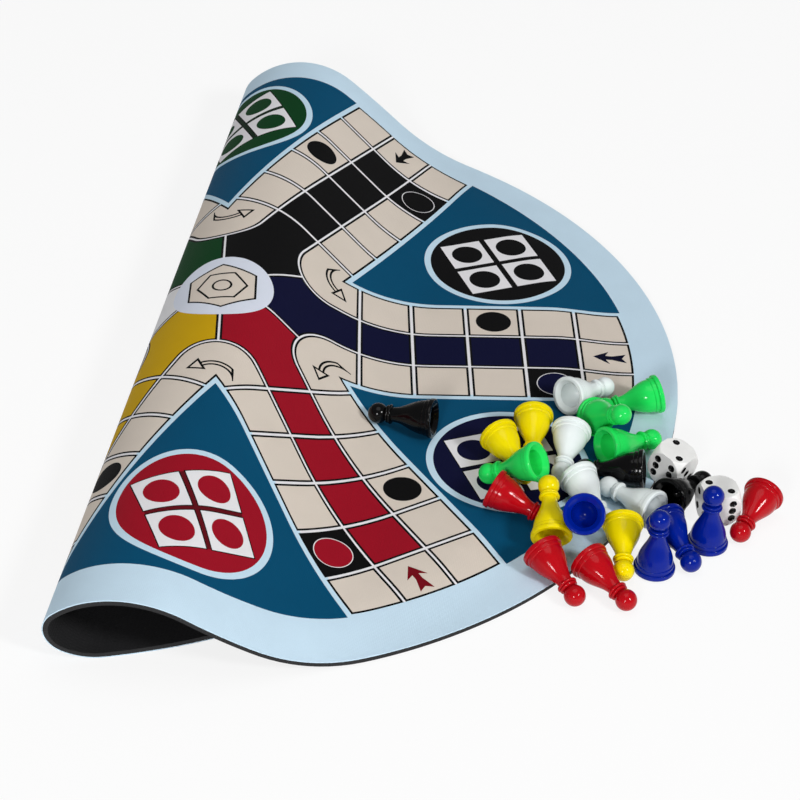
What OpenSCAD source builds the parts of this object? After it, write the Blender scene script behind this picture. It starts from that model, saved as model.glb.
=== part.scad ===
// Six-player race board game: a round printed mat folded over itself, pawns and dice.
// The origin is on the table, under the line where the fold starts to rise from the flat part.
// +X runs along the flat part towards the open rim, +Y runs along the fold, and +Z is up.

/* [Mat] */
// Diameter of the mat laid out flat
mat_d = 400; // [360:5:440]
// Thickness of the printed cloth face
cloth_t = 0.4; // [0.3:0.1:0.8]
// Thickness of the rubber backing
rubber_t = 1.8; // [1.2:0.1:2.6]

/* [Fold] */
// From the middle of the board to the line where the fold starts to rise
foot_d = 94; // [88:1:100]
// Radius of the hollow at the foot of the rise
foot_r = 68; // [56:1:76]
// Steepest slope of the rise, in degrees
rise = 33; // [28:1:36]
// Radius of the crest
crest_r = 38; // [32:1:44]
// Downward slope at which the crest turns into the nose
nose_from = 46; // [40:1:52]
// Radius of the nose
nose_r = 13.5; // [12:0.5:18]
// Slope at which the nose has turned in under the board
nose_to = 145; // [138:1:152]
// Radius where the folded part comes down on the table
touch_r = 26; // [20:1:32]
// Room between the folded part and the part that lies on it
lap_gap = 0.3; // [0.2:0.1:0.6]
// Width of the top part that stays level past the edge of the folded part
lap_margin = 10; // [8:1:14]
// Run over which the top part then comes down to the table
lap_fall = 30; // [24:1:40]

/* [Pawn] */
// Diameter of the foot
base_d = 16; // [14.8:0.2:18]
// Height over all
pawn_h = 27.5; // [25:0.5:32]
// Thickness of the flange at the foot
flange_t = 2; // [1.6:0.1:2.6]
// Diameter of the step above the flange
step_d = 14.6; // [14:0.1:14.8]
// Height of the step
step_h = 1.8; // [1.2:0.1:2.4]
// Diameter of the bell at its root
bell_d = 13.8; // [12.8:0.1:14]
// Diameter of the neck
neck_d = 5.8; // [5:0.1:6.4]
// Diameter of the lower collar
collar_d = 8; // [7.4:0.1:9]
// Diameter of the upper collar
upper_collar_d = 7.2; // [6.6:0.1:8]
// Thickness of each collar
collar_t = 1.2; // [0.9:0.1:1.5]
// Diameter of the ball head
head_d = 8.3; // [7.6:0.1:9.4]
// Depth to which the ball sits in the upper collar
head_sink = 0.7; // [0.5:0.1:1]
// Diameter of the hollow under the foot
hollow_d = 10; // [8:0.2:10.6]
// Depth of the hollow
hollow_h = 9; // [7:0.5:10]
// Width and height of the bevel round the mouth of the hollow
bevel = 1.6; // [1:0.1:1.8]
// Radius of the rounded edges of the flange and the step
edge_r = 0.5; // [0.3:0.05:0.6]

/* [Dice] */
// Edge of a die
die_a = 14; // [12.5:0.5:16]
// Diameter of the ball that rounds the corners off
die_round_d = 20.2; // [19:0.2:21]
// Diameter of a pip
pip_d = 3; // [2.2:0.1:3.2]
// Depth of a pip
pip_depth = 0.7; // [0.4:0.1:1]
// From the middle line of a face to its outer pips
pip_step = 3.4; // [3:0.1:3.8]

/* [Heap] */
// Direction of the heap from the middle of the board, in degrees
heap_dir = -22; // [-26:1:-18]
// From the rim of the mat in to the middle of the heap
heap_in = 12; // [6:1:20]
// Room under each piece
seat_gap = 0.3; // [0.2:0.05:0.5]

/* [Hidden] */
// Derived sizes of the mat
mat_r = mat_d / 2;
mat_t = cloth_t + rubber_t;
lap_drop = mat_t + lap_gap;
flat_z = mat_t + lap_drop;
// Fineness of the mat: degrees along the rim, and shares of the half width across it
rim_step = 5;
strips = [-1, -0.88, -0.74, -0.56, -0.28, 0.28, 0.56, 0.74, 0.88, 1];

// The straight run of the rise closes the loop, so that the folded part lands on the table
loop_down = crest_r * (1 - cos(nose_from)) + nose_r * (cos(nose_from) - cos(nose_to))
    + touch_r * (1 + cos(nose_to));
loop_up = (foot_r + crest_r) * (1 - cos(rise));
run = (loop_down - flat_z - loop_up) / sin(rise);

// Stretches of the fold from its foot on: length along the printed face, turn, rows of facets
function arc_len(r, turn) = r * turn * PI / 180;
fold = [
    [arc_len(foot_r, rise), rise, 6],
    [run, 0, 2],
    [arc_len(crest_r, rise + nose_from), -rise - nose_from, 10],
    [arc_len(nose_r, nose_to - nose_from), nose_from - nose_to, 10],
    [arc_len(touch_r, 180 - nose_to), nose_to - 180, 4]
];
function fold_start(i) = i == 0 ? 0 : fold_start(i - 1) + fold[i - 1][0];
fold_len = fold_start(len(fold));
// Where the middle of the board would lie on the folded part, and on the flat part
land = pose_at(foot_d - fold_len);
flap_x = land[0] + foot_d - fold_len;
board = [-foot_d, 0];

// Derived sizes of the pawn
base_r = base_d / 2;
head_r = head_d / 2;
head_z = pawn_h - head_r;
collar_z = pawn_h - head_d - 2 * collar_t + head_sink;
bell_z = flange_t + step_h;
hollow_r = hollow_d / 2;
foot_arm = head_z - flange_t;

// Places are given for pieces of these sizes, and the heap spreads as any of them grows
placed_base_d = 16;
placed_pawn_h = 27.5;
placed_head_d = 8.3;
placed_collar_d = 8;
placed_die_a = 14;
spread = max(1, base_d / placed_base_d, pawn_h / placed_pawn_h, head_d / placed_head_d,
    collar_d / placed_collar_d, die_a / placed_die_a);
grown = max(1, min(base_d / placed_base_d, pawn_h / placed_pawn_h, head_d / placed_head_d,
    collar_d / placed_collar_d, die_a / placed_die_a));
heap = board + (mat_r - heap_in) * [cos(heap_dir), sin(heap_dir)];
// A piece beside the mat is tied to a neighbour, from which it moves half as much as the heap spreads
tie = (spread + grown) / 2;
function placed(place, by) = heap + (is_undef(by) ? spread * place : spread * by + tie * (place - by));

// Places of the two pawns that the pieces beside the mat are tied to
blue_3_at = [23, -13.5];
black_3_at = [24, -1.2];

// Pawns by colour: place of the foot from the heap's middle, turn of the head, and how it rests,
// which is "lies", "stands" or the angle by which its head leans up or down, and the place of the
// neighbour that it is tied to, if any
pawn_sets = [
    ["white", [0.93, 0.94, 0.95], [
        [[-19.5, 53.5], 50, "lies"],
        [[-16, 32], -95, "lies"],
        [[-12, 4], -58, "lies"],
        [[19.5, -9.6], 143, "lies"]]],
    ["green", [0.16, 0.85, 0.36], [
        [[17.5, 65.5], -157, "lies"],
        [[-8, 46], -55, 36],
        [[-2.3, 24.8], 37, "lies"],
        [[-27, -3.8], 165, -32]]],
    ["yellow", [0.96, 0.86, 0.02], [
        [[-32, 38], -85, "lies"],
        [[-45.2, 22.8], -56, "lies"],
        [[-18.6, -35.4], 99, 20],
        [[7.5, -20.5], -85, "lies"]]],
    ["blue", [0.02, 0.12, 0.60], [
        [[-7.3, -35.4], 92, -45],
        [[21, -35], 0, "stands"],
        [blue_3_at, -60, "lies"],
        [[40.5, -16.5], 0, "stands", blue_3_at]]],
    ["red", [0.78, 0.07, 0.13], [
        [[-43.5, -12.6], -19, "lies"],
        [[-22, -43.6], -50, "lies"],
        [[-4.5, -43.5], -46, "lies"],
        [[61.4, 9.3], -112, "lies", black_3_at]]],
    ["black", [0.06, 0.06, 0.06], [
        [[-71, 28], 172, "lies"],
        [[14, 13], 178, "lies"],
        [black_3_at, 55, "lies"]]]
];
pawns = [for (s = pawn_sets) for (i = [0:len(s[2]) - 1])
    [str(s[0], "_pawn_", i + 1), s[1], s[2][i]]];

// Dice: name, place from the heap's middle, turn, and the neighbour's place if tied
dice = [
    ["die_1", [25, 21.5], -35],
    ["die_2", [43.6, 2.2], 20, black_3_at]
];
// Faces of a die: number of pips and the turn that brings it from the top
die_faces = [[1, [0, 0, 0]], [6, [180, 0, 0]], [2, [90, 0, 0]],
    [5, [-90, 0, 0]], [3, [0, 90, 0]], [4, [0, -90, 0]]];

$fn = 64;

// Shape of the folded mat

// A pose is x, z and the slope of travel, going from the rim of the flat part into the fold
function advance(p, s, turn) =
    let (h = p[2] + turn, r = turn == 0 ? 0 : s / turn * 180 / PI)
    turn == 0
        ? [p[0] - s * cos(h), p[1] + s * sin(h), h]
        : [p[0] - r * (sin(h) - sin(p[2])), p[1] + r * (cos(p[2]) - cos(h)), h];
// Pose at s along the face past the foot of the fold
function walk(s, p = [0, flat_z, 0], i = 0) =
    i == len(fold) ? advance(p, s, 0)
    : s <= fold[i][0] ? advance(p, s, fold[i][1] * s / fold[i][0])
    : walk(s - fold[i][0], advance(p, fold[i][0], fold[i][1]), i + 1);
// Pose at distance u from the middle of the board, towards the open rim
function pose_at(u) = u >= foot_d ? [u - foot_d, flat_z, 0] : walk(foot_d - u);

// 1 over the folded part, 0 where the top part has come down to the table
function lap(x, y) =
    let (past = norm([x - flap_x, y]) - mat_r - lap_margin)
    past <= 0 ? 1 : past >= lap_fall ? 0 : (1 + cos(180 * past / lap_fall)) / 2;

// Point of the mat at u, v on the flat board and at a depth under the printed face
function mat_point(u, v, depth) =
    let (p = pose_at(u), low = lap_drop * (1 - lap(p[0], v)) * max(cos(p[2]), 0))
    [p[0] - depth * sin(p[2]), v, p[1] - depth * cos(p[2]) - low];

// Rows of facets from the open rim to the rim of the folded part
rim_rows = [for (a = [rim_step / 2:rim_step:180]) mat_r * cos(a)];
rows = concat(
    [for (u = rim_rows) if (u > foot_d + rim_step) u],
    [for (i = [0:len(fold) - 1]) for (k = [0:fold[i][2] - 1])
        foot_d - fold_start(i) - fold[i][0] * k / fold[i][2]],
    [foot_d - fold_len],
    [for (u = rim_rows) if (u < foot_d - fold_len - rim_step) u]);

// Closed layer of the mat between two depths under the printed face
module layer(top, bottom) {
    n = len(rows);
    m = len(strips);
    back = n * m;
    points = [for (d = [top, bottom]) for (u = rows) for (k = strips)
        mat_point(u, k * sqrt(mat_r ^ 2 - u ^ 2), d)];
    skins = [for (i = [0:n - 2]) for (j = [0:m - 2])
        let (a = i * m + j, b = a + m, c = b + 1, d = a + 1)
        each [[a, b, c], [a, c, d], [back + a, back + c, back + b], [back + a, back + d, back + c]]];
    rims = [for (i = [0:n - 2])
        let (a = i * m, b = a + m, e = a + m - 1, f = b + m - 1)
        each [[b, a, back + a], [b, back + a, back + b], [e, f, back + f], [e, back + f, back + e]]];
    tips = [for (j = [0:m - 2])
        let (a = j, b = a + 1, e = back - m + j, f = e + 1)
        each [[a, b, back + b], [a, back + b, back + a], [f, e, back + e], [f, back + e, back + f]]];
    polyhedron(points, concat(skins, rims, tips));
}

module mat_face() {
    color([0.80, 0.86, 0.92]) layer(0, cloth_t);
}

module mat_base() {
    color([0.09, 0.09, 0.10]) layer(cloth_t, mat_t);
}

// Seats for the pieces

// Height of what a piece rests on: the flat part, the foot of the rise, or the table off the mat
function ground(p) =
    norm(p - board) > mat_r ? 0
    : p.x >= 0 ? flat_z - lap_drop * (1 - lap(p.x, p.y))
    : p.x > -foot_r * sin(rise) ? flat_z + foot_r - sqrt(foot_r ^ 2 - p.x ^ 2)
    : flat_z + foot_r * (1 - cos(rise)) - (p.x + foot_r * sin(rise)) * tan(rise);
// The same, m nearer to the middle of the board, which is the way that the mat rises
function ground_in(p, m) = ground(p - (p - board) * m / norm(p - board));
// Height that holds a round edge of radius r clear of the ground under it
seat_steps = 6;
function seat(p, r) =
    let (reach = sqrt(2 * r * mat_t - mat_t ^ 2))
    max([for (k = [0:seat_steps]) let (m = reach * k / seat_steps)
        ground_in(p, m) - r + sqrt(r ^ 2 - m ^ 2)]) + seat_gap;
// Height that holds a flat foot of radius r clear of the ground under it
function flat_seat(p, r) = max(ground(p), ground_in(p, r)) + seat_gap;

// Slope of a pawn that lies on its flange and its head, the flange's seat higher by up
function lying_slope(up) = asin((head_r - up) / norm([base_r, foot_arm])) - atan2(base_r, foot_arm);
// Height of the foot's middle and slope of the axis, for a pawn at p with its head turned to dir
function lying(p, dir) =
    let (s = lying_slope(0),
        foot_z = seat(p + dir * (flange_t * cos(s) + base_r * sin(s)), base_r),
        ball_z = seat(p + dir * head_z * cos(s), head_r),
        e = lying_slope(foot_z - ball_z))
    [foot_z - flange_t * sin(e) + base_r * cos(e), e];
function leaning(p, dir, e) =
    e > 0
        ? [seat(p + dir * base_r * sin(e), base_r) + base_r * cos(e), e]
        : [seat(p + dir * head_z * cos(e), head_r) + head_r - head_z * sin(e), e];
function resting(p, dir, how) =
    how == "stands" ? [flat_seat(p, base_r), 90]
    : how == "lies" ? lying(p, dir)
    : leaning(p, dir, how);

// Pawn

function arc(centre, r, from, to, n) =
    [for (i = [0:n]) centre + r * [cos(from + (to - from) * i / n), sin(from + (to - from) * i / n)]];
// Half outline, from the top of the hollow round the foot and up to the top of the head
function pawn_outline() = concat(
    [for (a = [0:15:90]) [hollow_r * sin(a), bevel + (hollow_h - bevel) * cos(a)]],
    [[hollow_r + bevel, 0]],
    arc([base_r - edge_r, edge_r], edge_r, -90, 0, 4),
    arc([base_r - edge_r, flange_t - edge_r], edge_r, 0, 90, 4),
    [[step_d / 2, flange_t]],
    arc([step_d / 2 - edge_r, bell_z - edge_r], edge_r, 0, 60, 3),
    [for (t = [0:1 / 12:1]) [neck_d / 2 + (bell_d - neck_d) * (1 + cos(180 * t)) / 4,
        bell_z + (collar_z - bell_z) * t]],
    arc([(collar_d - collar_t) / 2, collar_z + collar_t / 2], collar_t / 2, -90, 90, 6),
    arc([(upper_collar_d - collar_t) / 2, collar_z + collar_t * 1.5], collar_t / 2, -90, 90, 6),
    arc([0, head_z], head_r, asin((head_sink - head_r) / head_r), 90, 16));

module pawn(colour, place, turn, how, by) {
    p = placed(place, by);
    rest = resting(p, [cos(turn), sin(turn)], how);
    color(colour)
        translate([p.x, p.y, rest[0]])
        rotate([0, 90 - rest[1], turn])
        rotate_extrude() polygon(pawn_outline());
}

// Die

// Places of the pips on a face, in steps from its middle
function pips(n) = concat(
    n % 2 == 1 ? [[0, 0]] : [],
    n > 1 ? [[-1, 1], [1, -1]] : [],
    n > 3 ? [[-1, -1], [1, 1]] : [],
    n == 6 ? [[-1, 0], [1, 0]] : []);

// Slope of a die whose middle is off the rim by a distance, so that it leans on the mat
die_r = die_a / 2;
die_foot = min(sqrt(die_round_d ^ 2 - die_a ^ 2) / 2, die_a / sqrt(2));
function die_slope(off) =
    let (s = asin(mat_t / (die_foot + off)))
    asin(mat_t / (die_foot + (off - die_r * sin(s)) / cos(s)));

module die_body() {
    pip_r = (pip_d ^ 2 / 4 + pip_depth ^ 2) / (2 * pip_depth);
    difference() {
        intersection() {
            cube(die_a, center = true);
            sphere(d = die_round_d);
        }
        for (f = die_faces)
            rotate(f[1])
            for (q = pips(f[0]))
                translate([q.x * pip_step, q.y * pip_step, die_r - pip_depth + pip_r])
                sphere(pip_r);
    }
}

module die(place, turn, by) {
    p = placed(place, by);
    off = norm(p - board) - mat_r;
    leans = off > 0 && off < die_foot;
    slope = leans ? die_slope(off) : 0;
    floor_z = leans ? seat_gap : flat_seat(p, off > 0 ? 0 : die_foot);
    out = atan2(p.y - board.y, p.x - board.x);
    color([0.95, 0.95, 0.94])
        translate([p.x, p.y, floor_z + die_r * cos(slope) + die_foot * sin(slope)])
        rotate([0, 0, out])
        rotate([0, slope, 0])
        rotate([0, 0, turn - out])
        rotate([-90, 0, 0])
        die_body();
}

mat_base();
mat_face();
for (p = pawns)
    pawn(p[1], p[2][0], p[2][1], p[2][2], p[2][3]);
for (d = dice)
    die(d[1], d[2], d[3]);
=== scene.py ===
import math

import bpy
import numpy as np
from mathutils import Matrix, Vector


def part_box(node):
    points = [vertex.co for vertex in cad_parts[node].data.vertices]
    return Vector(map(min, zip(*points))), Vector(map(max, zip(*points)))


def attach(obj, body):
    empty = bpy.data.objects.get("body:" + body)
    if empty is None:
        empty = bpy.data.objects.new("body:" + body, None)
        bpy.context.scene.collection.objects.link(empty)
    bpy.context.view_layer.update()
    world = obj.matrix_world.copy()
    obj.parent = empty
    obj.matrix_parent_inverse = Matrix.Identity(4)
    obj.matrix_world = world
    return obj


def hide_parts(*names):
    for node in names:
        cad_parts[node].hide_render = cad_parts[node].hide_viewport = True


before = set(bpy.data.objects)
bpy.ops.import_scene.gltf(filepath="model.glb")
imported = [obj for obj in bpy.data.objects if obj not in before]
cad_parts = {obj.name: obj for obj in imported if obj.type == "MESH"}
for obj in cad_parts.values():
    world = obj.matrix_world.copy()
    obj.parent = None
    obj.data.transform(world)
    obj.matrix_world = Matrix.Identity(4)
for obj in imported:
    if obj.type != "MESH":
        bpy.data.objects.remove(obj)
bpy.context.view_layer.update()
scene = bpy.context.scene
scene.view_settings.view_transform = "Standard"


# shared helpers

def linear(red, green, blue):
    # a colour as seen on screen, 0 to 255, as the linear colour that a shader takes
    def one(c):
        c /= 255
        return c / 12.92 if c <= 0.04045 else ((c + 0.055) / 1.055) ** 2.4
    return (one(red), one(green), one(blue), 1.0)


def addObject(name, mesh):
    piece = bpy.data.objects.new(name, mesh)
    scene.collection.objects.link(piece)
    return piece


def newMaterial(name):
    material = bpy.data.materials.new(name)
    material.use_nodes = True
    tree = material.node_tree
    return material, tree, tree.nodes["Principled BSDF"]


def addNode(tree, kind, inputs=None, **settings):
    # one node with its settings; an input is a number, a colour or another node's output
    node = tree.nodes.new(kind)
    for name, value in settings.items():
        setattr(node, name, value)
    for key, value in (inputs or {}).items():
        if isinstance(value, Value):
            value = value.out
        if isinstance(value, bpy.types.NodeSocket):
            tree.links.new(value, node.inputs[key])
        else:
            node.inputs[key].default_value = value
    return node


class Value:
    # a number in a node tree, so that the print can be written as plain sums

    def __init__(self, tree, out):
        self.tree, self.out = tree, out

    def calc(self, operation, *others):
        inputs = dict(enumerate((self,) + others))
        node = addNode(self.tree, "ShaderNodeMath", inputs, operation=operation)
        return Value(self.tree, node.outputs[0])

    def __add__(self, other):
        return self.calc("ADD", other)

    __radd__ = __add__

    def __sub__(self, other):
        return self.calc("SUBTRACT", other)

    def __rsub__(self, other):
        return self.calc("MULTIPLY_ADD", -1.0, other)

    def __mul__(self, other):
        return self.calc("MULTIPLY", other)

    def __truediv__(self, other):
        return self.calc("DIVIDE", other)

    def __abs__(self):
        return self.calc("ABSOLUTE")

    def __lt__(self, other):
        return self.calc("LESS_THAN", other)

    def __gt__(self, other):
        return self.calc("GREATER_THAN", other)

    def __and__(self, other):
        return self.calc("MULTIPLY", other)

    def __or__(self, other):
        return self.calc("MAXIMUM", other)

    def atMost(self, other):
        return self.calc("MINIMUM", other)

    def atLeast(self, other):
        return self.calc("MAXIMUM", other)

    def length(self, other):
        return (self * self + other * other).calc("SQRT")


def noise(tree, place, scale, detail):
    node = addNode(tree, "ShaderNodeTexNoise", {"Vector": place, "Scale": scale, "Detail": detail})
    return Value(tree, node.outputs[0])


def waves(tree, place, scale, direction):
    node = addNode(tree, "ShaderNodeTexWave", {"Vector": place, "Scale": scale}, bands_direction=direction)
    return Value(tree, node.outputs["Fac"])


def multiplied(tree, colour, by):
    mix = addNode(tree, "ShaderNodeMix", {0: 1.0, 6: colour, 7: by}, data_type="RGBA", blend_type="MULTIPLY")
    return mix.outputs[2]


def dress(tree, shader, look, colour, rough, height):
    # colour, roughness and bump of a surface from its own nodes
    bump = addNode(tree, "ShaderNodeBump", {
        "Height": height, "Strength": look["bump"], "Distance": look["bumpHeight"]})
    tree.links.new(colour, shader.inputs["Base Color"])
    tree.links.new(rough.out, shader.inputs["Roughness"])
    tree.links.new(bump.outputs[0], shader.inputs["Normal"])
    shader.inputs["Specular IOR Level"].default_value = look["specular"]


# folded mat: the sheet is bent about lines along Y, so each point comes from its place on the flat board

mat = {
    "radius": 0.200, "cloth": 0.0004, "rubber": 0.0018,
    "footDistance": 0.094, "footRadius": 0.068, "rise": math.radians(33),
    "crestRadius": 0.038, "noseFrom": math.radians(46),
    "noseRadius": 0.0135, "noseTo": math.radians(145), "touchRadius": 0.026,
    "lapGap": 0.0003, "lapMargin": 0.010, "lapFall": 0.030,
    "rimStep": math.radians(1.25), "turnStep": math.radians(3), "leastParts": 4, "leastStep": 0.0004,
    "strips": 112, "sharp": math.radians(40),
    "planSeen": 0.97, "planRim": 0.995, "planCorner": 0.07, "planCornerSize": 0.12,
}
mat["thick"] = mat["cloth"] + mat["rubber"]
mat["lapDrop"] = mat["thick"] + mat["lapGap"]
mat["flatZ"] = mat["thick"] + mat["lapDrop"]


def foldStretches():
    rise, noseFrom, noseTo = mat["rise"], mat["noseFrom"], mat["noseTo"]
    down = (mat["crestRadius"] * (1 - math.cos(noseFrom))
            + mat["noseRadius"] * (math.cos(noseFrom) - math.cos(noseTo))
            + mat["touchRadius"] * (1 + math.cos(noseTo)))
    up = (mat["footRadius"] + mat["crestRadius"]) * (1 - math.cos(rise))
    run = (down - mat["flatZ"] - up) / math.sin(rise)
    return [(mat["footRadius"] * rise, rise), (run, 0.0),
            (mat["crestRadius"] * (rise + noseFrom), -rise - noseFrom),
            (mat["noseRadius"] * (noseTo - noseFrom), noseFrom - noseTo),
            (mat["touchRadius"] * (math.pi - noseTo), noseTo - math.pi)]


stretches = foldStretches()
foldLength = sum(s for s, turn in stretches)


def advance(pose, s, turn):
    x, z, slope = pose
    ahead = slope + turn
    if turn == 0:
        return x - s * math.cos(ahead), z + s * math.sin(ahead), ahead
    r = s / turn
    return (x - r * (math.sin(ahead) - math.sin(slope)),
            z + r * (math.cos(slope) - math.cos(ahead)), ahead)


def poseAt(u):
    # x, z and slope of the printed face at u from the middle of the board
    if u >= mat["footDistance"]:
        return u - mat["footDistance"], mat["flatZ"], 0.0
    left, pose = mat["footDistance"] - u, (0.0, mat["flatZ"], 0.0)
    for s, turn in stretches:
        if left <= s:
            return advance(pose, left, turn * left / s)
        pose, left = advance(pose, s, turn), left - s
    return advance(pose, left, 0.0)


flapX = poseAt(mat["footDistance"] - foldLength)[0] + mat["footDistance"] - foldLength


def matPoint(u, v, depth):
    x, z, slope = poseAt(u)
    past = math.hypot(x - flapX, v) - mat["radius"] - mat["lapMargin"]
    past = min(max(past / mat["lapFall"], 0.0), 1.0)
    low = mat["lapDrop"] * (1 - math.cos(math.pi * past)) / 2 * max(math.cos(slope), 0.0)
    return x - depth * math.sin(slope), v, z - depth * math.cos(slope) - low


def matColumns():
    # places of the columns: even steps round the rim, and small turns in the fold
    count = round(math.pi / mat["rimStep"])
    places = [mat["radius"] * math.cos(mat["rimStep"] * (i + 0.5)) for i in range(count)]
    start = mat["footDistance"]
    for s, turn in stretches:
        parts = max(mat["leastParts"], math.ceil(abs(turn) / mat["turnStep"]))
        places += [start - s * i / parts for i in range(parts + 1)]
        start -= s
    places = sorted(places, reverse=True)
    kept = [places[0]]
    for u in places[1:]:
        if kept[-1] - u > mat["leastStep"]:
            kept.append(u)
    return kept


def layPlan(mesh, sides, flat, seen):
    # the flat sheet as a map: the seen side fills the square, the rim runs round it, and the hidden side
    # is small in a corner
    corners = np.zeros(len(mesh.loops), np.int32)
    mesh.loops.foreach_get("vertex_index", corners)
    place = np.array(flat)[corners] / (2 * mat["radius"])
    onSeen = (place[:, 2] == place[:, 2].min()) == (seen == 0)
    side = np.repeat(sides, 4)
    wide = np.where(onSeen | (side == seen), mat["planSeen"], mat["planRim"])
    hidden = (side == 1 - seen)[:, None]
    tucked = mat["planCorner"] + mat["planCornerSize"] * place[:, :2]
    plan = np.where(hidden, tucked, 0.5 + wide[:, None] * place[:, :2])
    plan[:, 0] = plan[:, 0] if seen == 0 else 1 - plan[:, 0]
    mesh.uv_layers.new(name="OFBake").data.foreach_set("uv", plan.astype(np.float32).ravel())


def layerMesh(name, top, bottom, seen):
    # one layer between two depths; its seen side is 0 for the top, 1 for the back
    columns = matColumns()
    shares = np.linspace(-1, 1, mat["strips"] + 1)
    n, m = len(columns), len(shares)
    points, flat = [], []
    for depth in (top, bottom):
        for u in columns:
            half = math.sqrt(mat["radius"] ** 2 - u * u)
            for share in shares:
                points.append(matPoint(u, share * half, depth))
                flat.append((u, share * half, depth))
    back = n * m
    faces, sides = [], []
    for i in range(n - 1):
        for j in range(m - 1):
            a, b = i * m + j, (i + 1) * m + j
            faces.append((a, a + 1, b + 1, b))
            faces.append((back + a, back + b, back + b + 1, back + a + 1))
            sides += [0, 1]
        sides += [2, 2]
        a, b = i * m, (i + 1) * m
        e, f = a + m - 1, b + m - 1
        faces.append((a, b, back + b, back + a))
        faces.append((f, e, back + e, back + f))
    for j in range(m - 1):
        a, e = j, back - m + j
        faces.append((a + 1, a, back + a, back + a + 1))
        faces.append((e, e + 1, back + e + 1, back + e))
        sides += [2, 2]
    mesh = bpy.data.meshes.new(name)
    mesh.from_pydata(points, [], faces)
    place = mesh.attributes.new("flatPlace", "FLOAT_VECTOR", "POINT")
    place.data.foreach_set("vector", np.array(flat, np.float32).ravel())
    mesh.polygons.foreach_set("use_smooth", [True] * len(mesh.polygons))
    mesh.set_sharp_from_angle(angle=mat["sharp"])
    layPlan(mesh, sides, flat, seen)
    return mesh


# print of the board, in steps of one cell from the middle of the print

board = {
    "cell": 0.0226, "shift": (0.0009, 0.0025), "turn": math.radians(8.77),
    "rowStart": 2.837, "row": 1.042, "lastRow": 4, "armEnd": 8.0, "tealEnd": 8.06,
    "bendRound": 0.8, "line": 0.020, "rowLine": 0.027, "outline": 0.042,
    "bandIn": 1.44, "bandRim": 0.05, "bandOut": 1.535, "centre": 0.97,
    "safeRow": 2, "entryRow": 3, "spot": 0.335, "spotRing": 0.016,
    "hangarAt": 6.42, "hangarTurn": math.radians(-1.5), "hangar": 1.45, "hangarRing": 0.125,
    "homeTurn": math.radians(19), "homePitch": 0.935, "homeSquare": 0.82, "homeDot": 0.30,
    "homeBacking": 0.35,
}
straightArrow = {
    "tip": 7.26, "barb": 7.47, "waist": 7.62, "notch": 7.81, "tail": 7.89,
    "barbHalf": 0.135, "waistHalf": 0.06, "tailHalf": 0.135, "shade": (0.55, 0.55, 0.55, 1),
}
bendArrow = {
    "out": 2.894, "around": -0.067, "radius": 0.416, "half": 0.045, "tailCut": 0.285, "stroke": 0.022,
    "headOut": 2.525, "headAround": -0.275, "headLong": 0.245, "headWide": 0.155,
    "headTurn": math.radians(-68),
}
centreFigure = {"six": 0.64, "inner": 0.40, "hub": 0.17}
printColours = {
    "border": linear(198, 222, 238), "teal": linear(0, 73, 107), "line": linear(228, 227, 230),
    "ink": linear(9, 9, 10), "cream": linear(214, 203, 191), "centre": linear(215, 221, 234),
    "band": linear(194, 220, 236),
}
armColours = [linear(9, 12, 48), linear(11, 11, 12), linear(5, 60, 26),
              linear(226, 226, 228), linear(198, 158, 8), linear(152, 14, 34)]


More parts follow.
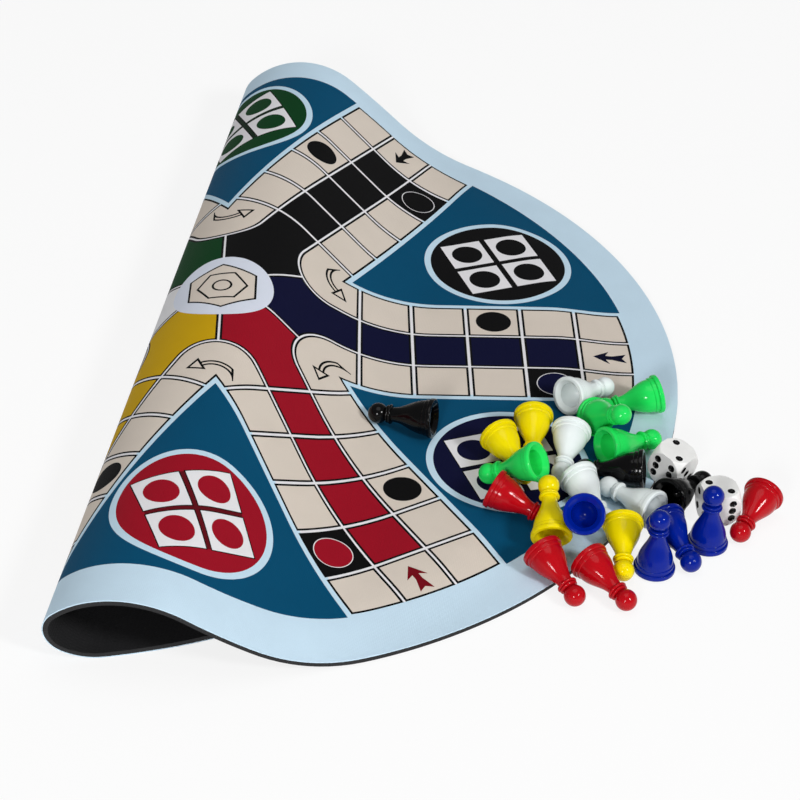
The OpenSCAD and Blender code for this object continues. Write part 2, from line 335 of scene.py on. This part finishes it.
def printNodes(tree, place):
    # colour of the print at a place on the board
    half, rootHalf, sixth = 0.5, math.sqrt(0.75), math.radians(60)
    ink, cream = printColours["ink"], printColours["cream"]
    parts = addNode(tree, "ShaderNodeSeparateXYZ", {0: place})
    x, y = Value(tree, parts.outputs[0]), Value(tree, parts.outputs[1])
    radius = x.length(y)
    sixths = y.calc("ARCTAN2", x) / sixth

    def turned(steps):
        # the place seen from a direction that many sixths of a turn on
        angle = steps * sixth
        c, s = angle.calc("COSINE"), angle.calc("SINE")
        return x * c + y * s, y * c - x * s

    def sixColours(steps):
        # colour of the arm with that number, counted round from the blue one
        share = (steps + 6.5).calc("WRAP", 6.0, 0.0) / 6
        ramp = addNode(tree, "ShaderNodeValToRGB", {0: share})
        ramp.color_ramp.interpolation = "CONSTANT"
        for i, colour in enumerate(armColours):
            if i < 2:
                stop = ramp.color_ramp.elements[i]
                stop.position = i / 6
            else:
                stop = ramp.color_ramp.elements.new(i / 6)
            stop.color = colour
        return ramp.outputs[0]

    def paint(under, mask, over):
        return addNode(tree, "ShaderNodeMix", {0: mask, 6: under, 7: over}, data_type="RGBA").outputs[2]

    arm = (sixths + half).calc("FLOOR")
    along, across = turned(arm)
    side = abs(across)
    sector = sixths.calc("FLOOR")
    out, around = turned(sector + half)
    armColour, sectorColour = sixColours(arm), sixColours(sector + 1.0)

    # how far into a cell: from the rounded bends, the rows, the teal and the end of the arm
    bend = board["bendRound"]
    apex = 2 * (half + bend)  # where the round of a bend has its middle, out from the centre
    ahead = (along - apex * rootHalf).atMost(0.0)
    aside = (half + bend - side).atLeast(0.0)
    inBend = bend - ahead.length(aside)
    rows = (along - board["rowStart"]) / board["row"]
    nearRow = (rows + half).calc("FLOOR").atLeast(0.0).atMost(board["lastRow"])
    toRow = abs(along - board["rowStart"] - nearRow * board["row"]) - board["rowLine"]
    toEnd = board["armEnd"] - radius
    inner = toRow.atMost(toEnd)
    sideDepth = (inBend - board["line"]).atMost(board["bandIn"] - side).atMost(inner)
    toNext = along * half - side * rootHalf - board["line"]
    midDepth = (inBend * -1.0 - board["line"]).atMost(toNext).atMost(inner)
    rowNumber = rows.calc("FLOOR")

    def isRow(number):
        return abs(rowNumber - number) < half

    beside = side > board["bandOut"]
    colour = paint(printColours["border"], beside & (radius < board["tealEnd"]), printColours["teal"])
    inArm = (side < board["bandOut"]) & (radius < board["armEnd"])
    colour = paint(colour, inArm, printColours["band"])
    colour = paint(colour, inArm & (side < board["bandIn"] - board["bandRim"]), printColours["line"])

    # side cells, with the black entry cell on one side and the dark spot on the other
    onLeft, onRight = across > 0.0, across < 0.0
    entry = isRow(board["entryRow"]) & onRight
    colour = paint(colour, sideDepth > 0.0, ink)
    colour = paint(colour, (sideDepth > board["outline"]) & (1.0 - entry), cream)
    colour = paint(colour, midDepth > 0.0, ink)
    midFill = paint(armColour, isRow(board["lastRow"]), cream)
    colour = paint(colour, midDepth > board["outline"], midFill)

    def spotAt(number):
        middle = board["rowStart"] + board["row"] * (number + half)
        return (along - middle).length(side - 1.0)
    colour = paint(colour, (spotAt(board["safeRow"]) < board["spot"]) & onLeft, ink)
    entrySpot = spotAt(board["entryRow"])
    colour = paint(colour, (entrySpot < board["spot"] + board["spotRing"]) & onRight, printColours["line"])
    colour = paint(colour, (entrySpot < board["spot"]) & onRight, armColour)

    # arrow on the last cell, with a fish tail
    arrow = straightArrow
    tip, barb, waist, tail = arrow["tip"], arrow["barb"], arrow["waist"], arrow["tail"]
    head = (side < (along - tip) * (arrow["barbHalf"] / (barb - tip))) & (along < barb + side * half)
    flare = ((along - waist) / (tail - waist)).atLeast(0.0)
    shaft = side < flare * (arrow["tailHalf"] - arrow["waistHalf"]) + arrow["waistHalf"]
    notched = side * ((tail - arrow["notch"]) / arrow["tailHalf"]) + arrow["notch"]
    shaft = shaft & (along > barb) & (along < notched)
    colour = paint(colour, head | shaft, multiplied(tree, armColour, arrow["shade"]))

    # curved arrow in each bend, drawn as an outline
    arrow = bendArrow
    outX = out - arrow["out"]
    ring = abs(outX.length(around - arrow["around"]) - arrow["radius"]) - arrow["half"]
    # its head, in steps along and across the head's own direction
    c, s = math.cos(arrow["headTurn"]), math.sin(arrow["headTurn"])
    headOut, headAround = out - arrow["headOut"], around - arrow["headAround"]
    headX, headY = headOut * c + headAround * s, abs(headAround * c - headOut * s)
    headLong, headWide = arrow["headLong"], arrow["headWide"]
    slant = headLong / math.hypot(headLong, headWide)
    headDepth = (headX * -1.0).atLeast((headY - headWide + headX * (headWide / headLong)) * slant)
    band = ring.atLeast(around - arrow["tailCut"]).atLeast(headX).atLeast(outX)
    colour = paint(colour, abs(band.atMost(headDepth)) < arrow["stroke"], ink)

    # middle of the board: a pale round with a plain six-sided figure
    outline = board["outline"]
    colour = paint(colour, radius < board["centre"], printColours["centre"])
    colour = paint(colour, along < centreFigure["six"], ink)
    colour = paint(colour, along < centreFigure["six"] - outline, cream)
    colour = paint(colour, abs(out - centreFigure["inner"]) < outline * half, ink)
    colour = paint(colour, abs(radius - centreFigure["hub"]) < outline * half, ink)

    # hangars: a ringed disc with four squares, set square to one direction all over the board
    middle = (sector + half) * sixth + board["hangarTurn"]
    fromX = x - middle.calc("COSINE") * board["hangarAt"]
    fromY = y - middle.calc("SINE") * board["hangarAt"]
    toHangar = fromX.length(fromY)
    c, s = math.cos(board["homeTurn"]), math.sin(board["homeTurn"])
    acrossX, acrossY = abs(fromX * c + fromY * s), abs(fromY * c - fromX * s)
    gridX, gridY = (abs(a - board["homePitch"] * half) for a in (acrossX, acrossY))
    colour = paint(colour, toHangar < board["hangar"], printColours["band"])
    colour = paint(colour, toHangar < board["hangar"] - board["hangarRing"], sectorColour)
    backing = paint(ink, board["homeBacking"], sectorColour)
    edge = board["homeSquare"] * half
    square = gridX.atLeast(gridY)
    colour = paint(colour, acrossX.atLeast(acrossY) < board["homePitch"] * half + edge, backing)
    colour = paint(colour, square < edge + outline * half, ink)
    colour = paint(colour, square < edge, printColours["line"])
    colour = paint(colour, gridX.length(gridY) < board["homeDot"], sectorColour)
    return colour


clothLook = {
    "dyeScale": 60.0, "dyeDetail": 4.0, "threadScale": 2200.0, "threadDetail": 2.0, "weaveScale": 480.0,
    "dark": 0.91, "dye": 0.10, "thread": 0.08, "rough": 0.68, "threadRough": 0.18,
    "threadBump": 0.6, "bump": 0.35, "bumpHeight": 0.00012,
    "specular": 0.05, "sheen": 0.02, "sheenRough": 0.5,
}
rubberLook = {
    "grainScale": 1400.0, "patchScale": 40.0, "detail": 3.0, "gridScale": 210.0,
    "dark": linear(20, 20, 21), "light": linear(40, 40, 42), "patch": 0.6, "grain": 0.4,
    "rough": 0.6, "grainRough": 0.2, "grainBump": 0.7, "bump": 0.5, "bumpHeight": 0.0003, "specular": 0.3,
}


def clothMaterial():
    look = clothLook
    material, tree, shader = newMaterial("printedCloth")
    flat = addNode(tree, "ShaderNodeAttribute", attribute_name="flatPlace").outputs["Vector"]
    place = addNode(tree, "ShaderNodeMapping", {
        "Vector": flat, "Location": (*board["shift"], 0), "Rotation": (0, 0, board["turn"]),
        "Scale": (board["cell"], board["cell"], 1)}, vector_type="TEXTURE")
    colour = printNodes(tree, place.outputs[0])
    # uneven dye and thread, then the weave as bump
    dye = noise(tree, flat, look["dyeScale"], look["dyeDetail"])
    thread = noise(tree, flat, look["threadScale"], look["threadDetail"])
    spread = dye * look["dye"] + thread * look["thread"] + look["dark"]
    warp, weft = (waves(tree, flat, look["weaveScale"], direction) for direction in "XY")
    dress(tree, shader, look, multiplied(tree, colour, spread),
          thread * look["threadRough"] + look["rough"], warp.atLeast(weft) + thread * look["threadBump"])
    shader.inputs["Sheen Weight"].default_value = look["sheen"]
    shader.inputs["Sheen Roughness"].default_value = look["sheenRough"]
    return material


def rubberMaterial():
    look = rubberLook
    material, tree, shader = newMaterial("foamedRubber")
    flat = addNode(tree, "ShaderNodeAttribute", attribute_name="flatPlace").outputs["Vector"]
    grain = noise(tree, flat, look["grainScale"], look["detail"])
    patch = noise(tree, flat, look["patchScale"], look["detail"])
    across, along = (waves(tree, flat, look["gridScale"], direction) for direction in "XY")
    tone = addNode(tree, "ShaderNodeValToRGB", {0: patch * look["patch"] + grain * look["grain"]})
    tone.color_ramp.elements[0].color = look["dark"]
    tone.color_ramp.elements[1].color = look["light"]
    dress(tree, shader, look, tone.outputs[0],
          grain * look["grainRough"] + look["rough"], across * along + grain * look["grainBump"])
    return material


def makeMat():
    cloth = addObject("mat_cloth", layerMesh("mat_cloth", 0.0, mat["cloth"], 0))
    cloth.data.materials.append(clothMaterial())
    rubber = addObject("mat_rubber", layerMesh("mat_rubber", mat["cloth"], mat["thick"], 1))
    rubber.data.materials.append(rubberMaterial())
    for piece, node, slot in ((cloth, "mat_face", "mat_cloth"), (rubber, "mat_base", "mat_rubber")):
        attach(piece, "mat")
        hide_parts(node)
    print("mat:", len(cloth.data.polygons), "faces a layer")


makeMat()


# pawns: one outline turned round by a node tree, then set where each pawn of the heap lies

pawn = {
    "base": 0.016, "height": 0.0275, "flange": 0.002, "step": 0.0146, "stepHeight": 0.0018,
    "bell": 0.0138, "neck": 0.0058, "collar": 0.008, "upperCollar": 0.0072, "collarThick": 0.0012,
    "head": 0.0083, "headSink": 0.0007, "hollow": 0.010, "hollowHeight": 0.009, "bevel": 0.0016,
    "edge": 0.0005, "segments": 96, "seam": 0.00005, "seamTurn": 1.3,
    "domeSteps": 12, "edgeSteps": 5, "stepSteps": 4, "bellSteps": 24, "collarSteps": 8, "headSteps": 22,
}
sharpAngle = math.radians(32)  # edges of the pawns and the dice that stay crisp


def arcPoints(x, z, r, start, end, count):
    angles = np.radians(np.linspace(start, end, count + 1))
    return [(x + r * math.cos(a), z + r * math.sin(a)) for a in angles]


def pawnOutline():
    # half outline from the top of the hollow round the foot and up to the top of the head
    p = pawn
    headR, half = p["head"] / 2, p["hollow"] / 2
    headZ = p["height"] - headR
    collarZ = p["height"] - p["head"] - 2 * p["collarThick"] + p["headSink"]
    bellZ = p["flange"] + p["stepHeight"]
    baseR, thick = p["base"] / 2, p["collarThick"]
    dome = [(half * math.sin(a), p["bevel"] + (p["hollowHeight"] - p["bevel"]) * math.cos(a))
            for a in np.radians(np.linspace(0, 90, p["domeSteps"] + 1))]
    bell = [(p["neck"] / 2 + (p["bell"] - p["neck"]) * (1 + math.cos(math.pi * t)) / 4,
             bellZ + (collarZ - bellZ) * t) for t in np.linspace(0, 1, p["bellSteps"] + 1)]
    sunk = math.degrees(math.asin((p["headSink"] - headR) / headR))
    points = dome + [(half + p["bevel"], 0.0)]
    edge, edgeSteps = p["edge"], p["edgeSteps"]
    points += arcPoints(baseR - edge, edge, edge, -90, 0, edgeSteps)
    points += arcPoints(baseR - edge, p["flange"] - edge, edge, 0, 90, edgeSteps)
    points += [(p["step"] / 2, p["flange"])]
    points += arcPoints(p["step"] / 2 - edge, bellZ - edge, edge, 0, 60, p["stepSteps"])
    points += bell
    for wide, middleZ in ((p["collar"], collarZ + thick / 2), (p["upperCollar"], collarZ + thick * 1.5)):
        points += arcPoints((wide - thick) / 2, middleZ, thick / 2, -90, 90, p["collarSteps"])
    points += arcPoints(0.0, headZ, headR, sunk, 90, p["headSteps"])
    return points, len(dome)


def newTree(name, inputs):
    tree = bpy.data.node_groups.new(name, "GeometryNodeTree")
    for label, kind in [("Geometry", "NodeSocketGeometry")] + inputs:
        tree.interface.new_socket(label, in_out="INPUT", socket_type=kind)
    tree.interface.new_socket("Geometry", in_out="OUTPUT", socket_type="NodeSocketGeometry")
    given = tree.nodes.new("NodeGroupInput").outputs
    result = tree.nodes.new("NodeGroupOutput").inputs[0]
    return tree, given, result


def runTree(name, points, tree, settings):
    # the tree on a mesh of loose points, turned into a plain mesh
    source = bpy.data.meshes.new(name)
    source.from_pydata(points, [], [])
    piece = addObject(name, source)
    modifier = piece.modifiers.new("shape", "NODES")
    modifier.node_group = tree
    for item in tree.interface.items_tree:
        if item.in_out == "INPUT" and item.name in settings:
            modifier[item.identifier] = settings[item.name]
    piece.update_tag()
    bpy.context.view_layer.update()
    graph = bpy.context.evaluated_depsgraph_get()
    mesh = bpy.data.meshes.new_from_object(piece.evaluated_get(graph), depsgraph=graph)
    mesh.name = name
    piece.modifiers.clear()
    piece.data = mesh
    bpy.data.meshes.remove(source)
    mesh.set_sharp_from_angle(angle=sharpAngle)
    return piece


def latheTree():
    tree, given, result = newTree("turnedPawn", [
        ("Segments", "NodeSocketInt"), ("Hollow Rings", "NodeSocketInt"), ("Seam", "NodeSocketFloat"),
        ("Foot", "NodeSocketVector"), ("Turn", "NodeSocketVector"), ("Plastic", "NodeSocketMaterial")])
    outline = given["Geometry"]
    size = addNode(tree, "GeometryNodeAttributeDomainSize", {"Geometry": outline}, component="MESH")
    rings, segments = Value(tree, size.outputs["Point Count"]), Value(tree, given["Segments"])
    grid = addNode(tree, "GeometryNodeMeshGrid", {
        "Size X": 1.0, "Size Y": 1.0, "Vertices X": rings, "Vertices Y": segments + 1.0})
    here = addNode(tree, "GeometryNodeInputPosition")
    parts = addNode(tree, "ShaderNodeSeparateXYZ", {0: here.outputs[0]})
    ring = ((Value(tree, parts.outputs[0]) + 0.5) * (rings - 1.0)).calc("ROUND")
    angle = (Value(tree, parts.outputs[1]) + 0.5) * math.tau
    pick = addNode(tree, "GeometryNodeSampleIndex", {"Geometry": outline, "Index": ring},
                   data_type="FLOAT_VECTOR")
    pickValue = next(s for s in pick.inputs if s.name == "Value" and s.type == "VECTOR")
    tree.links.new(here.outputs[0], pickValue)
    pickOut = next(s for s in pick.outputs if s.type == "VECTOR")
    spot = addNode(tree, "ShaderNodeSeparateXYZ", {0: pickOut})
    # the mould's parting line, a fine ridge up both sides of the outer skin
    nearNothing = 0.001
    onSeam = (abs(angle.calc("SINE")) < nearNothing) & (ring > Value(tree, given["Hollow Rings"]))
    wall = Value(tree, spot.outputs[0])
    wall = wall + onSeam * Value(tree, given["Seam"]) * (wall > nearNothing)
    moved = addNode(tree, "ShaderNodeCombineXYZ", {
        0: wall * angle.calc("COSINE"), 1: wall * angle.calc("SINE"), 2: spot.outputs[2]})
    bent = addNode(tree, "GeometryNodeSetPosition", {
        "Geometry": grid.outputs[0], "Position": moved.outputs[0]})
    joined = addNode(tree, "GeometryNodeMergeByDistance", {"Geometry": bent.outputs[0], "Distance": 1e-6})
    turned = addNode(tree, "GeometryNodeFlipFaces", {"Mesh": joined.outputs[0]})
    smooth = addNode(tree, "GeometryNodeSetShadeSmooth", {"Geometry": turned.outputs[0]})
    laid = addNode(tree, "GeometryNodeTransform", {
        "Geometry": smooth.outputs[0], "Translation": given["Foot"], "Rotation": given["Turn"]})
    whole = addNode(tree, "GeometryNodeRealizeInstances", {"Geometry": laid.outputs[0]})
    dressed = addNode(tree, "GeometryNodeSetMaterial", {
        "Geometry": whole.outputs[0], "Material": given["Plastic"]})
    tree.links.new(dressed.outputs[0], result)
    return tree


def triangles(node):
    # corners of a node's triangles
    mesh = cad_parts[node].data
    mesh.calc_loop_triangles()
    co = np.zeros(len(mesh.vertices) * 3, np.float32)
    mesh.vertices.foreach_get("co", co)
    index = np.zeros(len(mesh.loop_triangles) * 3, np.int32)
    mesh.loop_triangles.foreach_get("vertices", index)
    return co.reshape(-1, 3).astype(float)[index].reshape(-1, 3, 3)


def pawnPose(node):
    # foot and direction of a pawn, from the long axis of its solid
    corners = triangles(node)
    area = np.linalg.norm(np.cross(corners[:, 1] - corners[:, 0], corners[:, 2] - corners[:, 0]), axis=1)
    middle = corners.mean(axis=1)
    centre = (middle * area[:, None]).sum(0) / area.sum()
    away = middle - centre
    axis = np.linalg.eigh((away * area[:, None]).T @ away)[1][:, -1]
    along = (corners.reshape(-1, 3) - centre) @ axis
    off = np.linalg.norm(corners.reshape(-1, 3) - centre - along[:, None] * axis, axis=1)
    if along[np.argmax(off)] > 0:
        axis, along = -axis, -along
    return Vector(centre + axis * along.min()), Vector(axis)


plasticLook = {
    "cloudScale": 160.0, "cloudDetail": 3.0, "fineScale": 1500.0, "fineDetail": 2.0,
    "dark": 0.93, "cloud": 0.14, "rough": 0.06, "cloudRough": 0.08, "scuff": 0.05, "paintScuff": 0.3,
    "fineBump": 0.15, "bump": 0.12, "bumpHeight": 0.0002, "specular": 0.2,
}


def plasticMaterial(name, colour, scuff):
    look = plasticLook
    material, tree, shader = newMaterial(name)
    spot = addNode(tree, "ShaderNodeTexCoord").outputs["Object"]
    cloud = noise(tree, spot, look["cloudScale"], look["cloudDetail"])
    fine = noise(tree, spot, look["fineScale"], look["fineDetail"])
    dress(tree, shader, look, multiplied(tree, colour, cloud * look["cloud"] + look["dark"]),
          cloud * look["cloudRough"] + fine * scuff + look["rough"], cloud + fine * look["fineBump"])
    return material


pawnColours = {
    "white": (linear(230, 237, 237), 4), "green": (linear(34, 218, 92), 4),
    "yellow": (linear(236, 215, 0), 4), "blue": (linear(0, 28, 136), 4),
    "red": (linear(174, 8, 20), 4), "black": (linear(7, 7, 8), 3),
}


def makePawns():
    outline, hollowRings = pawnOutline()
    points = [(x, 0.0, z) for x, z in outline]
    tree = latheTree()
    made = 0
    for colour, (tint, count) in pawnColours.items():
        plastic = plasticMaterial(colour + "Plastic", tint, plasticLook["scuff"])
        for i in range(count):
            name = f"{colour}_pawn_{i + 1}"
            foot, axis = pawnPose(name)
            spin = Matrix.Rotation(pawn["seamTurn"] * made, 3, "Z").to_quaternion()
            turn = axis.to_track_quat("Z", "Y") @ spin
            piece = runTree(name + "_turned", points, tree, {
                "Segments": pawn["segments"], "Hollow Rings": hollowRings, "Seam": pawn["seam"],
                "Foot": tuple(foot), "Turn": tuple(turn.to_euler()), "Plastic": plastic})
            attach(piece, name)
            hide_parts(name)
            colour + "_plastic"
            made += 1
    print("pawns:", made)


makePawns()


# dice: a cube rounded by a ball, with sunk pips

die = {
    "edge": 0.014, "round": 0.0202, "pip": 0.0030, "pipDepth": 0.0007, "pipStep": 0.0034,
    "grid": 49, "ballSegments": 32, "ballRings": 20, "pipEdge": 1.002,
    "turns": {"die_1": -35, "die_2": 20},  # how each was set down, in degrees, as in the part's source
    "white": linear(238, 238, 236), "paint": linear(12, 12, 13),
}
pipSpots = {1: [(0, 0)], 2: [(-1, 1), (1, -1)], 3: [(0, 0), (-1, 1), (1, -1)],
            4: [(-1, -1), (1, 1), (-1, 1), (1, -1)], 5: [(0, 0), (-1, -1), (1, 1), (-1, 1), (1, -1)],
            6: [(-1, -1), (1, 1), (-1, 1), (1, -1), (-1, 0), (1, 0)]}
dieSides = [(1, "X", 0), (6, "X", 180), (2, "X", 90), (5, "X", -90), (3, "Y", 90), (4, "Y", -90)]


def dieTree():
    tree, given, result = newTree("pippedDie", [
        ("Edge", "NodeSocketFloat"), ("Round", "NodeSocketFloat"), ("Pip Ball", "NodeSocketFloat"),
        ("Grid", "NodeSocketInt"), ("Middle", "NodeSocketVector"), ("Turn", "NodeSocketVector"),
        ("Plastic", "NodeSocketMaterial"), ("Paint", "NodeSocketMaterial")])
    size = addNode(tree, "ShaderNodeCombineXYZ", {0: given["Edge"], 1: given["Edge"], 2: given["Edge"]})
    cube = addNode(tree, "GeometryNodeMeshCube", {
        "Size": size.outputs[0], "Vertices X": given["Grid"], "Vertices Y": given["Grid"],
        "Vertices Z": given["Grid"]})
    here = addNode(tree, "GeometryNodeInputPosition")
    far = addNode(tree, "ShaderNodeVectorMath", {0: here.outputs[0]}, operation="LENGTH")
    share = (Value(tree, given["Round"]) * 0.5 / Value(tree, far.outputs["Value"])).atMost(1.0)
    pulled = addNode(tree, "ShaderNodeVectorMath", {0: here.outputs[0], "Scale": share}, operation="SCALE")
    body = addNode(tree, "GeometryNodeSetPosition", {
        "Geometry": cube.outputs[0], "Position": pulled.outputs[0]})
    ball = addNode(tree, "GeometryNodeMeshUVSphere", {
        "Segments": die["ballSegments"], "Rings": die["ballRings"], "Radius": given["Pip Ball"]})
    balls = addNode(tree, "GeometryNodeInstanceOnPoints", {
        "Points": given["Geometry"], "Instance": ball.outputs[0]})
    cut = addNode(tree, "GeometryNodeMeshBoolean", operation="DIFFERENCE", solver="EXACT")
    cut.inputs["Self Intersection"].default_value = True
    tree.links.new(body.outputs[0], cut.inputs["Mesh 1"])
    tree.links.new(balls.outputs[0], cut.inputs["Mesh 2"])
    smooth = addNode(tree, "GeometryNodeSetShadeSmooth", {"Geometry": cut.outputs[0]})

    def laid(shape):
        moved = addNode(tree, "GeometryNodeTransform", {
            "Geometry": shape, "Translation": given["Middle"], "Rotation": given["Turn"]})
        return moved.outputs[0]
    near = addNode(tree, "GeometryNodeProximity", {"Geometry": laid(given["Geometry"])},
                   target_element="POINTS")
    inPip = Value(tree, near.outputs["Distance"]) < Value(tree, given["Pip Ball"]) * die["pipEdge"]
    whole = addNode(tree, "GeometryNodeRealizeInstances", {"Geometry": laid(smooth.outputs[0])})
    plain = addNode(tree, "GeometryNodeSetMaterial", {
        "Geometry": whole.outputs[0], "Material": given["Plastic"]})
    painted = addNode(tree, "GeometryNodeSetMaterial", {
        "Geometry": plain.outputs[0], "Selection": inPip, "Material": given["Paint"]})
    tree.links.new(painted.outputs[0], result)
    return tree


def diePose(node):
    # middle and turn of a die: its flat faces nearest to how it was set down
    corners = triangles(node)
    normal = np.cross(corners[:, 1] - corners[:, 0], corners[:, 2] - corners[:, 0])
    area = np.linalg.norm(normal, axis=1)
    normal = normal / np.maximum(area, 1e-15)[:, None]
    low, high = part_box(node)
    start = Matrix.Rotation(math.radians(die["turns"][node]), 3, "Z")
    start = start @ Matrix.Rotation(math.radians(-90), 3, "X")
    alike, flush = 0.9, 0.9999
    axes = []
    for k in range(3):
        facing = normal @ np.array(start.col[k])
        best = normal[np.argmax(np.where(facing > alike, area, 0.0))]
        flat = normal @ best > flush
        mean = (normal[flat] * area[flat][:, None]).sum(0)
        axes.append(Vector(mean).normalized())
    turn = Matrix(axes).transposed()
    return (low + high) / 2, turn


def makeDice():
    half = die["edge"] / 2
    ball = (die["pip"] ** 2 / 4 + die["pipDepth"] ** 2) / (2 * die["pipDepth"])
    points = []
    for number, axis, angle in dieSides:
        side = Matrix.Rotation(math.radians(angle), 3, axis)
        points += [side @ Vector((x * die["pipStep"], y * die["pipStep"], half - die["pipDepth"] + ball))
                   for x, y in pipSpots[number]]
    plastic = plasticMaterial("dieWhite", die["white"], plasticLook["scuff"])
    paint = plasticMaterial("pipBlack", die["paint"], plasticLook["paintScuff"])
    tree = dieTree()
    for name in die["turns"]:
        middle, turn = diePose(name)
        piece = runTree(name + "_pipped", points, tree, {
            "Edge": die["edge"], "Round": die["round"], "Pip Ball": ball, "Grid": die["grid"],
            "Middle": tuple(middle), "Turn": tuple(turn.to_euler()), "Plastic": plastic, "Paint": paint})
        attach(piece, name)
        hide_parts(name)
    print("dice:", len(die["turns"]))


makeDice()


# floor, light and camera

stage = {
    "size": 6.0, "drop": 0.0002, "floor": 0.94, "floorRough": 0.9, "glow": 0.82,
    "ceiling": 0.2, "wall": 0.6, "wallTop": 0.3, "aim": (0.0, -0.05, 0.0),
}
lamps = [
    {"name": "overhead", "at": (0.0, -0.1, 1.6), "size": 1.2, "power": 5.0},
    {"name": "window", "at": (2.1, -1.5, 1.95), "size": 0.6, "power": 50.0},
    {"name": "fill", "at": (-0.3, -2.2, 1.0), "size": 0.5, "power": 24.0},
]
camera = {"at": (0.0767, -0.8311, 0.5919), "yaw": -5.9, "pitch": 35.78, "roll": 2.67,
          "focal": 2453.2, "width": 800, "sensor": 36.0, "near": 0.05}


def makeStage():
    size = stage["size"]
    mesh = bpy.data.meshes.new("floor")
    corners = [(-size, -size), (size, -size), (size, size), (-size, size)]
    mesh.from_pydata([(x, y, -stage["drop"]) for x, y in corners], [], [(0, 1, 2, 3)])
    floor = addObject("floor", mesh)
    material, tree, shader = newMaterial("paleFloor")
    # seen by eye or in a reflection, the floor is near white and its shadows are light
    path = addNode(tree, "ShaderNodeLightPath")
    seen = Value(tree, path.outputs["Is Camera Ray"]) | Value(tree, path.outputs["Is Glossy Ray"])
    seen = seen | Value(tree, path.outputs["Is Transmission Ray"])
    shade = (1.0 - seen * stage["glow"]) * stage["floor"]
    pale = addNode(tree, "ShaderNodeCombineColor", {0: shade, 1: shade, 2: shade})
    tree.links.new(pale.outputs[0], shader.inputs["Base Color"])
    tree.links.new((seen * stage["glow"]).out, shader.inputs["Emission Strength"])
    shader.inputs["Emission Color"].default_value = (1, 1, 1, 1)
    shader.inputs["Roughness"].default_value = stage["floorRough"]
    shader.inputs["Specular IOR Level"].default_value = 0.0
    mesh.materials.append(material)

    world = bpy.data.worlds.new("studio")
    scene.world = world
    world.use_nodes = True
    tree = world.node_tree
    backdrop = tree.nodes["Background"]
    # pale walls all round under a dimmer ceiling
    toward = addNode(tree, "ShaderNodeTexCoord")
    height = addNode(tree, "ShaderNodeSeparateXYZ", {0: toward.outputs["Generated"]})
    up = (Value(tree, height.outputs[2]) / stage["wallTop"]).atLeast(0.0).atMost(1.0)
    strength = up * (stage["ceiling"] - stage["wall"]) + stage["wall"]
    tree.links.new(strength.out, backdrop.inputs["Strength"])
    backdrop.inputs["Color"].default_value = (1, 1, 1, 1)

    for lamp in lamps:
        light = bpy.data.lights.new(lamp["name"], "AREA")
        light.shape, light.size, light.energy = "DISK", lamp["size"], lamp["power"]
        lampObject = bpy.data.objects.new(lamp["name"], light)
        scene.collection.objects.link(lampObject)
        lampObject.location = lamp["at"]
        aim = Vector(stage["aim"]) - Vector(lamp["at"])
        lampObject.rotation_euler = aim.to_track_quat("-Z", "Y").to_euler()


def makeCamera():
    yaw, pitch, roll = (math.radians(camera[k]) for k in ("yaw", "pitch", "roll"))
    ahead = Vector((math.sin(yaw) * math.cos(pitch), math.cos(yaw) * math.cos(pitch), -math.sin(pitch)))
    level = Vector((math.cos(yaw), -math.sin(yaw), 0.0))
    above = level.cross(ahead)
    right = level * math.cos(roll) + above * math.sin(roll)
    up = above * math.cos(roll) - level * math.sin(roll)
    lens = bpy.data.cameras.new("photoCamera")
    lens.sensor_width = camera["sensor"]
    lens.lens = camera["sensor"] * camera["focal"] / camera["width"]
    lens.clip_start = camera["near"]
    eye = bpy.data.objects.new("photoCamera", lens)
    scene.collection.objects.link(eye)
    turn = Matrix((right, up, -ahead)).transposed().to_4x4()
    eye.matrix_world = Matrix.Translation(camera["at"]) @ turn
    scene.camera = eye


makeStage()
makeCamera()
print("stage and camera set")
